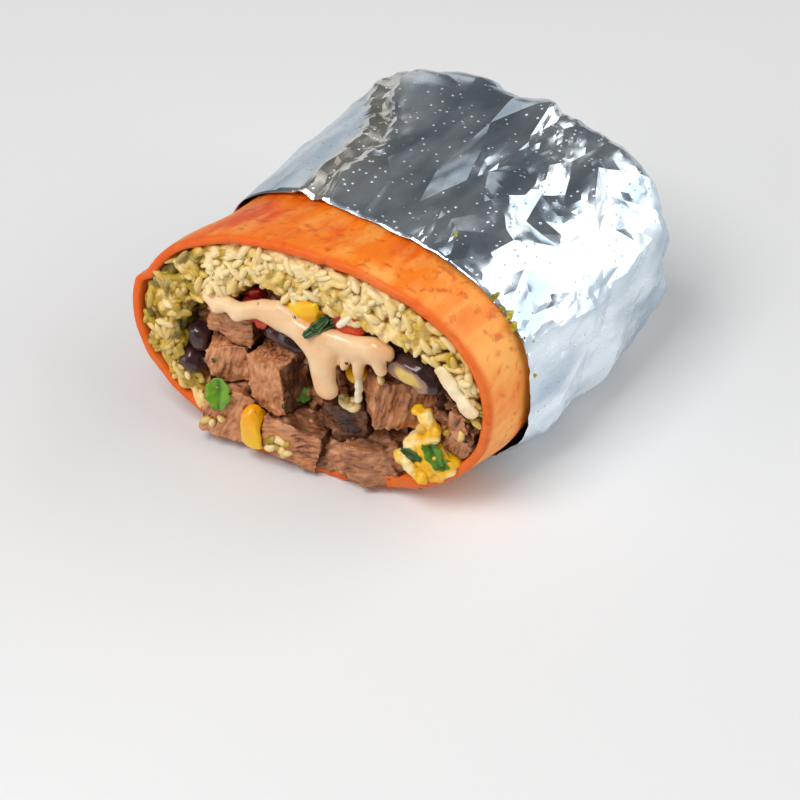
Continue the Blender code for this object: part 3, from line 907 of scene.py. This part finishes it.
# The beef: nine braised cubes, cut through or whole, with fibres that run one way in each piece,
# ragged edges and a darker crust on the sides that are not cut; sides turned right or down are
# also darker with painted shade.
BEEF_CUT = tone(190, 120, 74)
BEEF_PINK = tone(218, 154, 108)
BEEF_CRUST = tone(98, 52, 28)
BEEF_CHAR = tone(52, 30, 22)
# Which way each piece's fibres run, and how browned it is.
BEEF_PIECES = {
    "beef_a": ((0.9, 0.2, 0.4), 0.1),
    "beef_b": ((0.2, 0.1, 1.0), -0.1),
    "beef_c": ((0.15, 0.2, 1.0), -0.15),
    "beef_d": ((0.4, 0.2, 0.9), -0.1),
    "beef_e": ((1.0, 0.3, 0.3), 0.05),
    "beef_f": ((0.5, 1.0, 0.4), 0.9),
    "beef_g": ((0.1, 0.2, 1.0), 0.02),
    "beef_h": ((1.0, 0.2, 0.3), 0.3),
    "beef_i": ((0.3, 0.2, 1.0), 0.0),
}


def meat_shader(name):
    """Meat whose fibres follow the strand attribute, and whose darker colour follows a second attribute:
    real crust and painted shade.
    """
    material, shader = new_shader(name, 0.42)
    fibre_noise = material.node_tree.nodes.new("ShaderNodeTexNoise")
    fibre_noise.inputs["Scale"].default_value = 1.0
    fibre_noise.inputs["Detail"].default_value = 4.0
    link(material, attribute(material, "strand").outputs["Vector"], fibre_noise.inputs["Vector"])
    fibres = fibre_noise.outputs["Fac"]
    blotches = pattern(material, 210.0, 4.0).outputs["Fac"]
    both = mixed(material, 0.5, fibres, blotches)
    meat = ramp(material, both, [(0.36, BEEF_CRUST), (0.47, BEEF_CUT), (0.60, BEEF_PINK)])
    dark = ramp(material, both, [(0.40, BEEF_CHAR), (0.62, BEEF_CRUST)])
    # Real crust, and painted shade on the sides turned right or down, darken the meat here.
    crust = attribute(material, "crust").outputs["Fac"]
    link(material, mixed(material, crust, meat, dark), shader.inputs["Base Color"])
    wet = pattern(material, 240.0, 2.0).outputs["Fac"]
    gloss = ramp(material, wet, [(0.42, grey(0.26)), (0.62, grey(0.58))])
    link(material, gloss, shader.inputs["Roughness"])
    add_bump(material, shader, fibres, 0.4, 0.0004)
    soften(shader, 0.08, (1.0, 0.4, 0.2), 0.001)
    return material


def tear(bm, fibre, index, burnt, depth):
    """Rough, torn fibres over a piece of meat, with its strands, and its crust and painted shade, marked
    for the shader.
    """
    side = fibre.cross(Vector((0.0, 1.0, 0.1))).normalized()
    other = fibre.cross(side)
    crust = bm.verts.layers.float.new("crust")
    strand = bm.verts.layers.float_vector.new("strand")
    bm.normal_update()
    moves = []
    for vertex in bm.verts:
        spot = vertex.co + Vector((17.0 * index, 0.0, 0.0))
        along = Vector((spot.dot(fibre) / 4.5, spot.dot(side), spot.dot(other)))
        lump = noise.noise(spot / 3.4)
        torn = 0.8 * noise.noise(along / 1.1) + 0.5 * noise.noise(along / 0.5)
        crumb = max(noise.noise(spot / 1.3) - 0.1, 0.0)
        moves.append((vertex, vertex.normal * depth * (0.8 * lump + 0.34 * torn + 0.8 * crumb - 0.3)))
        # Painted shade: besides real crust on the uncut sides, faces turned right or down are painted
        # darker, as if shaded from a light at the upper left.
        facing = -vertex.normal.y * 0.95 + vertex.normal.z * 0.25 - vertex.normal.x * 0.3
        value = burnt + 0.95 * smooth((0.5 - facing) / 0.6) + 0.28 * torn + 0.45 * lump
        vertex[crust] = limit(value)
        vertex[strand] = along * 1.4
    for vertex, move in moves:
        vertex.co += move


beef_meat = meat_shader("beef")
for index, (name, (grain_way, burnt)) in enumerate(BEEF_PIECES.items()):
    bm = from_node(name, 0.34, 2)
    if name == "beef_h":
        for vertex in bm.verts:
            vertex.co.y += 2.6 * smooth((vertex.co.x - 11.0) / 9.0)
    tear(bm, Vector(grain_way).normalized(), index, burnt, 1.0)
    beef = place(name + "_meat", bm, beef_meat)
    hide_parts(name)

# Shreds and crumbs of beef: rough lumps torn from the same meat, packed in the gaps between the
# pieces and along the sheet below them, and fused into one moist mass.
SHREDS_CENTRE = 26
SHREDS_BELOW = 300
SHREDS_BEHIND = 320
random.seed(31)


def chunk_shape():
    """A rough lump with a few dozen faces."""
    bm = bmesh.new()
    bmesh.ops.create_cube(bm, size=1.6)
    bmesh.ops.subdivide_edges(bm, edges=bm.edges, cuts=1, use_grid_fill=True)
    for vertex in bm.verts:
        vertex.co = vertex.co.lerp(vertex.co.normalized(), 0.55)
        vertex.co += vertex.co * 0.3 * noise.noise(vertex.co * 2.3)
    return taken(bm)


def shred(centre):
    width = random.uniform(0.9, 1.9)
    half = Vector((width, width * 0.8, random.uniform(1.4, 3.2)))
    return centre, random_way(0.6).normalized(), half, random.uniform(-0.5, 0.5), 0.0


shreds = []
for _ in range(SHREDS_CENTRE):
    x = random.uniform(-1.0, 6.5)
    z = random.uniform(3.0, 6.5)
    shreds.append(shred(Vector((x, face_y(x, z) + random.uniform(-0.6, 1.6), z))))
for _ in range(SHREDS_BELOW):
    angle = random.uniform(math.radians(214.0), math.radians(356.0))
    radius = inside_radius(angle) - random.uniform(1.6, 7.0)
    centre = section_point(angle, radius, CUT_Y, 1.6)
    centre.y = face_y(centre.x, centre.z) + random.uniform(0.2, 5.0)
    shreds.append(shred(centre))
for _ in range(SHREDS_BEHIND):
    angle = random.uniform(0.0, 2.0 * math.pi)
    radius = (core_radius(angle, CUT_Y) - 2.0) * math.sqrt(random.random())
    centre = section_point(angle, radius, CUT_Y, 2.0)
    centre.y = face_y(centre.x, centre.z) + random.uniform(4.2, 8.5)
    shreds.append(shred(centre))
bm = remeshed(copied(chunk_shape(), shreds, "unused"), 0.42, 1)
tear(bm, Vector((0.8, 0.3, 0.5)).normalized(), 20, 0.32, 0.7)
shredded = place("beef_shreds", bm, beef_meat)
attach(shredded, "root")

# The beans: five cooked black beans with thin glossy skins, one of them split so that its pale
# yellow-green inside shows.
BEAN_SKIN = tone(50, 30, 32)
BEAN_PURPLE = tone(96, 60, 56)
BEAN_FLESH = tone(156, 118, 100)
BEAN_INSIDE = tone(214, 182, 96)
bean_skin, shader = new_shader("bean", 0.18)
skin_noise = pattern(bean_skin, 220.0, 3.0).outputs["Fac"]
skin = ramp(bean_skin, skin_noise, [(0.42, BEAN_SKIN), (0.72, BEAN_PURPLE)])
split = attribute(bean_skin, "split").outputs["Fac"]
flesh = ramp(bean_skin, split, [(0.42, BEAN_FLESH), (0.72, BEAN_INSIDE)])
shown = ramp(bean_skin, split, [(0.08, grey(0.0)), (0.2, grey(1.0))])
link(bean_skin, mixed(bean_skin, shown, skin, flesh), shader.inputs["Base Color"])
link(bean_skin, mixed(bean_skin, shown, grey(0.16), grey(0.4)), shader.inputs["Roughness"])
for name in ("bean_left_low", "bean_left_high", "bean_centre", "bean_top", "bean_open"):
    bm = from_node(name, 0.3, 6)
    roughen(bm, [(2.5, 0.25)])
    if name == "bean_open":
        split_layer = bm.verts.layers.float.new("split")
        middle = sum((vertex.co for vertex in bm.verts), Vector()) / len(bm.verts)
        bm.normal_update()
        for vertex in bm.verts:
            across = (vertex.co.x - middle.x + 0.2) / 5.4
            rise = (vertex.co.z - middle.z + 0.2 + 0.12 * (vertex.co.x - middle.x)) / 3.0
            reach = math.hypot(across, rise) + 0.08 * noise.noise(vertex.co / 1.2)
            front = smooth((-vertex.normal.y - 0.1) / 0.3)
            vertex[split_layer] = front * limit(1.0 - smooth((reach - 0.1) / 1.1))
            if vertex.normal.y < 0.0:
                hollow = smooth((0.95 - reach) / 0.25)
                vertex.co.y += 0.7 * front * hollow * (1.0 - 0.6 * smooth((0.5 - reach) / 0.2))
    bean = place(name + "_skin", bm, bean_skin)
    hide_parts(name)

# The corn: three plump kernels with smooth, glossy skins in two patchy yellows, cooked whole and
# caught between the other pieces.
CORN_YELLOW = tone(254, 202, 6)
CORN_AMBER = tone(244, 164, 0)


def patchy(name, roughness, scale, stops, detail=3.0, offset=0.0):
    """A material whose colours follow one noise."""
    material, shader = new_shader(name, roughness)
    spread = pattern(material, scale, detail, offset=offset).outputs["Fac"]
    link(material, ramp(material, spread, stops), shader.inputs["Base Color"])
    return material, shader


corn_skin, shader = patchy("corn", 0.25, 130.0, [(0.35, CORN_AMBER), (0.6, CORN_YELLOW)], 2.0)
soften(shader, 0.2, (1.0, 0.6, 0.1), 0.002)
for name in ("corn_top", "corn_low", "corn_mid"):
    bm = from_node(name, 0.35, 8)
    kernel = place(name + "_kernel", bm, corn_skin)
    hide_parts(name)

# The tomato and pepper: wet red dice with uneven sides, the pepper darker, lying loose under the
# rice, above and below the sauce. The pepper's darker reds are painted shade for the shadow under the rice.
TOMATO_RED = tone(196, 40, 10)
TOMATO_ORANGE = tone(226, 84, 30)
TOMATO_DARK = tone(120, 12, 8)
# Painted shade: the pepper is coloured a darker red for the shadow it lies in under the rice.
PEPPER_SHADED_RED = tone(140, 16, 14)
PEPPER_SHADED_DARK = tone(80, 6, 8)
tomato_reds = [(0.3, TOMATO_DARK), (0.5, TOMATO_RED), (0.7, TOMATO_ORANGE)]
tomato_flesh, shader = patchy("tomato", 0.25, 260.0, tomato_reds)
soften(shader, 0.15, (1.0, 0.2, 0.1), 0.0015)
shaded_pepper_flesh, _ = patchy("pepper", 0.2, 260.0, [(0.4, PEPPER_SHADED_DARK), (0.7, PEPPER_SHADED_RED)])
for name in ("tomato_left", "tomato_centre", "tomato_right", "pepper_top"):
    bm = from_node(name, 0.35, 3)
    roughen(bm, [(1.8, 0.4)])
    dice = place(name + "_dice", bm, shaded_pepper_flesh if name == "pepper_top" else tomato_flesh)
    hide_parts(name)

# The cheese: a firm pale strip cut from a block at the right, and soft yellow melted cheese with
# white curds, which has run together at the lower right.
CHEESE_CREAM = tone(252, 230, 192)
CHEESE_SHADE = tone(240, 208, 156)
cheese_flesh, shader = patchy("cheese", 0.4, 200.0, [(0.35, CHEESE_SHADE), (0.6, CHEESE_CREAM)])
soften(shader, 0.2, (1.0, 0.8, 0.5), 0.002)
bm = from_node("cheese_strip", 0.3, 3)
roughen(bm, [(2.2, 0.4), (0.9, 0.12)])
strip = place("cheese_strip_piece", bm, cheese_flesh)
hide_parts("cheese_strip")

MELT_YELLOW = tone(244, 184, 22)
MELT_PALE = tone(252, 226, 160)
melt_tones = [(0.50, MELT_YELLOW), (0.62, MELT_PALE)]
melt_flesh, shader = patchy("melted_cheese", 0.28, 170.0, melt_tones, offset=0.02)
soften(shader, 0.2, (1.0, 0.7, 0.2), 0.002)
bm = from_node("melted_cheese", 0.4, 5)
roughen(bm, [(3.0, 1.4), (1.4, 0.5)])
melt = place("melted_cheese_pool", bm, melt_flesh)
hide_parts("melted_cheese")

# The sauce: a smooth, thick, creamy pour that runs from the left over the beef and drips down the
# middle, with an arm over the tomato.
SAUCE_PEACH = tone(240, 204, 160)
SAUCE_WARM = tone(230, 178, 124)
# A run is a list of stops: a place on the cut face, a radius, and how far ahead of the face.
SAUCE_POUR = (
    ((-26.4, 36.8), 1.5, 1.6),
    ((-23.8, 36.3), 1.9, 2.2),
    ((-21.2, 37.2), 1.7, 2.2),
    ((-18.2, 36.8), 2.4, 3.2),
    ((-14.6, 38.6), 2.1, 2.8),
    ((-11.5, 38.6), 2.6, 3.0),
    ((-8.0, 38.0), 2.9, 3.2),
    ((-4.0, 37.4), 2.9, 3.6),
    ((-0.8, 36.0), 3.3, 4.2),
    ((1.6, 33.4), 3.4, 4.8),
    ((2.2, 30.4), 3.1, 5.0),
    ((2.6, 27.8), 2.5, 5.0),
    ((3.1, 26.2), 2.7, 5.2),
)
SAUCE_OVER = (
    ((0.0, 37.4), 3.0, 3.8),
    ((4.0, 37.2), 3.0, 3.6),
    ((8.0, 37.2), 3.2, 3.6),
    ((12.0, 37.8), 3.3, 3.2),
    ((14.8, 38.2), 2.2, 2.6),
)
SAUCE_DRIPS = (
    (((6.6, 36.0), 1.5, 3.4), ((6.4, 32.6), 0.9, 3.4)),
    (((-24.4, 36.4), 1.6, 2.0), ((-24.0, 35.6), 1.4, 2.4)),
    (((-18.6, 36.6), 2.0, 3.0), ((-18.4, 35.9), 1.7, 3.4)),
    (((9.6, 36.0), 1.6, 3.2), ((9.4, 33.4), 1.2, 3.2), ((9.2, 29.4), 0.7, 2.6)),
    (((13.4, 36.0), 1.8, 3.0), ((14.2, 34.2), 1.4, 2.8)),
    (((-13.0, 39.4), 2.0, 2.4), ((-9.4, 40.0), 2.2, 2.6), ((-6.4, 39.4), 2.0, 2.6)),
)
BALL_GAP = 0.7
sauce_cream, shader = patchy("sauce", 0.16, 110.0, [(0.35, SAUCE_WARM), (0.6, SAUCE_PEACH)])
soften(shader, 0.2, (1.0, 0.7, 0.4), 0.002)


def ball_shape():
    bm = bmesh.new()
    bmesh.ops.create_icosphere(bm, subdivisions=3, radius=1.0)
    return taken(bm)


def stroke(stops):
    """Overlapping balls along a run of stops."""
    balls = []
    for (start, radius_1, ahead_1), (end, radius_2, ahead_2) in zip(stops, stops[1:]):
        length = math.hypot(end[0] - start[0], end[1] - start[1])
        count = max(int(length / BALL_GAP), 1)
        for step in range(count + 1):
            share = step / count
            x = start[0] + (end[0] - start[0]) * share
            z = start[1] + (end[1] - start[1]) * share
            radius = radius_1 + (radius_2 - radius_1) * share
            ahead = ahead_1 + (ahead_2 - ahead_1) * share
            thick = 0.5 * radius + 0.7
            centre = Vector((x, face_y(x, z) - ahead + thick, z))
            balls.append((centre, Vector((0.0, 0.0, 1.0)), Vector((radius, thick, radius)), 0.0, 0.0))
    return balls


def poured(runs, voxel, smoothing, bumps):
    """One soft body along several runs of stops."""
    balls = [ball for stops in runs for ball in stroke(stops)]
    bm = remeshed(copied(ball_shape(), balls, "unused"), voxel, smoothing)
    roughen(bm, bumps)
    return bm


bm = poured((SAUCE_POUR, SAUCE_OVER, *SAUCE_DRIPS), 0.36, 12, [(5.0, 0.45)])
sauce = place("sauce_pour", bm, sauce_cream)
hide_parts("sauce")

# The herbs: fresh leaves, torn and chopped, each a curled blade folded along its middle and set
# down where it first touches the food, with small dark green flecks all over the cut face.
random.seed(41)
EYE = aim + back * VIEW_DISTANCE - SHIFT
SETTLED_ENDS = ("_sheet", "_wrap", "_front", "_meat", "_skin", "_kernel", "_dice", "_pour", "_pool")
LEAF_ROWS = 9
LEAF_COLUMNS = 6
LEAF_THICKNESS = 0.18
FLECKS = 44
FLECK_TURN = 200.858
FLECK_ROOM = 4.5


def standing_pieces():
    """Everything placed so far, in the roll's millimetres, to lay small bits upon."""
    points = []
    faces = []
    for piece in bpy.data.objects:
        if piece.type == "MESH" and piece.name.endswith(SETTLED_ENDS):
            first = len(points)
            points.extend(vertex.co / MM - SHIFT for vertex in piece.data.vertices)
            faces.extend([first + index for index in face.vertices] for face in piece.data.polygons)
    return bvhtree.BVHTree.FromPolygons(points, faces)


surface = standing_pieces()


def settle(place_seen):
    """Where the line of sight through a place first meets the food, and which way that faces."""
    ray = (place_seen - EYE).normalized()
    spot, normal, _, _ = surface.ray_cast(EYE, ray)
    if normal is not None and normal.dot(ray) > 0.0:
        normal = -normal
    return spot, normal


# Each leaf's place, length, width, turn in degrees, fold, and age from bright to dark; painted shade
# darkens each blade along its fold.
LEAVES = (
    ((-21.3, -43.0, 15.6), 6.8, 5.8, 8.0, 0.3, 0.0),
    ((-2.9, -38.4, 21.6), 3.8, 3.4, 60.0, 0.25, 0.2),
    ((0.2, -37.0, 40.2), 6.4, 2.3, -38.0, 0.5, 1.0),
    ((2.4, -37.0, 41.6), 6.0, 2.0, -62.0, 0.5, 0.9),
    ((23.3, -36.5, 17.4), 4.8, 2.2, 78.0, 0.3, 0.8),
    ((28.6, -36.5, 20.8), 6.6, 3.6, 32.0, 0.35, 0.3),
    ((30.6, -36.5, 18.6), 3.8, 2.4, 100.0, 0.3, 0.2),
)


def leaf(points, faces, ages_and_fold_shade, spot, normal, length, width, turn, fold, age):
    """A cut leaf: a curled blade with lobed edges, folded along its middle."""
    facing = normal.lerp(Vector((0.3, -0.8, 0.5)).normalized(), 0.5).normalized()
    swing = facing.to_track_quat("Z", "Y").to_matrix() @ Matrix.Rotation(math.radians(turn), 3, "Z")
    first = len(points)
    for row in range(LEAF_ROWS + 1):
        share = row / LEAF_ROWS
        lobes = 1.0 + 0.16 * math.sin(share * 17.0 + turn)
        reach = width / 2.0 * math.sin(math.pi * (0.06 + 0.88 * share)) ** 0.6 * lobes
        for column in range(LEAF_COLUMNS + 1):
            across = 2.0 * column / LEAF_COLUMNS - 1.0
            lift = fold * abs(across) * reach + 0.5 * (share - 0.5) ** 2 * length * 0.5
            lift += 0.3 * noise.noise(Vector((across * 2.0, share * 3.0, turn)))
            local = Vector((across * reach, (share - 0.5) * length, lift + 0.07 * length))
            points.append(spot + swing @ local)
            # Painted shade: the blade is darkened along its middle fold, where shade falls in the crease.
            ages_and_fold_shade.append(limit(age + 0.5 * bell(across, 0.2) + 0.4 * noise.noise(local / 0.9)))
    for row in range(LEAF_ROWS):
        for column in range(LEAF_COLUMNS):
            corner = first + row * (LEAF_COLUMNS + 1) + column
            beyond = corner + LEAF_COLUMNS + 1
            faces.append((corner, corner + 1, beyond + 1, beyond))


HERB_BRIGHT = tone(112, 158, 26)
HERB_GREEN = tone(70, 116, 22)
HERB_DARK = tone(22, 50, 18)
herb_green, shader = new_shader("herb", 0.35)
# Darker with age, and along each blade's fold with painted shade.
age_tone = ramp(
    herb_green,
    attribute(herb_green, "age").outputs["Fac"],
    [(0.0, HERB_BRIGHT), (0.4, HERB_GREEN), (1.0, HERB_DARK)],
)
veins = pattern(herb_green, 700.0, 3.0, (1.0, 1.0, 0.5)).outputs["Fac"]
vein_mask = ramp(herb_green, veins, [(0.45, grey(0.0)), (0.7, grey(0.5))])
link(herb_green, mixed(herb_green, vein_mask, age_tone, HERB_GREEN), shader.inputs["Base Color"])
add_bump(herb_green, shader, veins, 0.3, 0.0003)

leaf_points = []
leaf_faces = []
leaf_ages_and_fold_shade = []
for seen, *looks in LEAVES:
    spot, normal = settle(Vector(seen))
    leaf(leaf_points, leaf_faces, leaf_ages_and_fold_shade, spot, normal, *looks)
for _ in range(FLECKS):
    angle = random.uniform(0.0, 2.0 * math.pi)
    radius = (roll_radius(angle, CUT_Y) - 5.0) * random.random() ** 0.4
    spot, normal = settle(section_point(angle, radius, CUT_Y))
    if any((spot - Vector(seen)).length < FLECK_ROOM for seen, *_ in LEAVES):
        continue
    size = random.uniform(0.35, 0.75)
    spot -= normal * 0.1
    leaf(leaf_points, leaf_faces, leaf_ages_and_fold_shade, spot, normal, size * 1.5, size, FLECK_TURN, 0.2, 0.9)
leaves = place("herb_leaves", meshed(leaf_points, leaf_faces, "age", leaf_ages_and_fold_shade), herb_green)
leaf_body = leaves.modifiers.new("Thickness", "SOLIDIFY")
leaf_body.thickness = LEAF_THICKNESS * MM

# The salsa: yellow-green crumbs, each of three rough lumps run together, caught along the foil's
# edge and on the foil itself.
SALSA_OLIVE = tone(128, 120, 16)
SALSA_LIME = tone(196, 184, 40)
SALSA_WAY = Vector((0.2, 0.1, 1.0)).normalized()
SALSA_BITS = (
    ((29.1, -16.0, 47.8), 1.0, 1.4),
    ((31.4, -16.6, 46.6), 0.8, 1.2),
    ((33.2, -16.8, 45.2), 1.2, 2.0),
    ((34.6, -16.8, 43.6), 1.1, 1.8),
    ((36.4, -16.0, 40.6), 0.6, 0.8),
    ((37.6, -14.6, 39.6), 0.4, 0.5),
    ((39.2, -16.0, 32.0), 0.5, 1.5),
    ((15.3, -10.1, 53.6), 0.5, 0.8),
)
salsa_green, _ = patchy("salsa", 0.35, 600.0, [(0.4, SALSA_OLIVE), (0.62, SALSA_LIME)])
bits = []
for seen, width, length in SALSA_BITS:
    spot, _ = settle(Vector(seen))
    for _ in range(3):
        shifted = spot + Vector([random.uniform(-0.5, 0.5) * width for _ in range(3)])
        half = Vector((width * 0.6, width * 0.5, length * 0.6))
        bits.append((shifted, SALSA_WAY, half, 0.0, 0.0))
bm = remeshed(copied(chunk_shape(), bits, "unused"), 0.2, 2)
roughen(bm, [(0.9, 0.4)])
place("salsa_bits", bm, salsa_green)

# The onion: two soft, pale slivers, cooked through, one hanging below the sauce and one across
# the tomato, up to the rice.
ONION_WHITE = tone(240, 226, 196)
ONION_SLIVERS = (
    (((9.3, 30.0), 0.7, 2.6), ((9.5, 27.0), 0.8, 2.4), ((9.2, 24.2), 0.6, 2.2)),
    (((4.6, 42.0), 0.9, 2.2), ((6.4, 44.2), 0.8, 1.6)),
)
onion_flesh, shader = new_shader("onion", 0.3)
shader.inputs["Base Color"].default_value = ONION_WHITE
soften(shader, 0.2, (1.0, 0.8, 0.6), 0.002)
place("onion_slivers", poured(ONION_SLIVERS, 0.25, 3, [(1.4, 0.3)]), onion_flesh)

# More of the melted cheese: two runs of it, lumpy with curds, one up over the beef at the right
# and one along the lower left of the pool, both stuck where they cooled.
MELT_SMEARS = (
    (
        ((22.6, 26.2), 1.3, 2.0),
        ((24.6, 25.4), 1.8, 2.6),
        ((26.2, 23.4), 1.4, 2.4),
        ((25.6, 20.6), 1.5, 2.6),
    ),
    (((20.4, 14.6), 1.5, 3.6), ((22.0, 12.6), 1.7, 3.8), ((24.8, 10.6), 1.5, 3.6)),
)
bm = poured(MELT_SMEARS, 0.3, 5, [(2.2, 0.9), (1.0, 0.3)])
smears = place("melted_cheese_smears", bm, melt_flesh)

# Stray grains of rice: whole ones and broken crumbs that fell from the heap when the roll was
# cut, and stuck to the beef. A patch has a place on the cut face, a spread and a number of them.
STRAY_PATCHES = (
    (-8.6, 5.4, 2.6, 9),
    (7.4, 23.4, 1.6, 8),
    (-24.0, 6.0, 3.0, 3),
    (31.0, 25.0, 2.0, 4),
    (12.0, 31.0, 3.0, 3),
)
strays = []
for x, z, spread, count in STRAY_PATCHES:
    for _ in range(count):
        across = x + random.uniform(-spread, spread)
        rise = z + random.uniform(-spread, spread) * 0.6
        spot, normal = settle(Vector((across, face_y(across, rise) - 2.0, rise)))
        way = random_way(0.4)
        shade = random.uniform(0.0, 0.9)
        strays.append(grain_at(spot + normal * 0.3, way, shade, random.uniform(0.35, 0.8)))
stray_grains = place("stray_grains", copied(grain_shape(), strays, "tint"), rice_flesh)
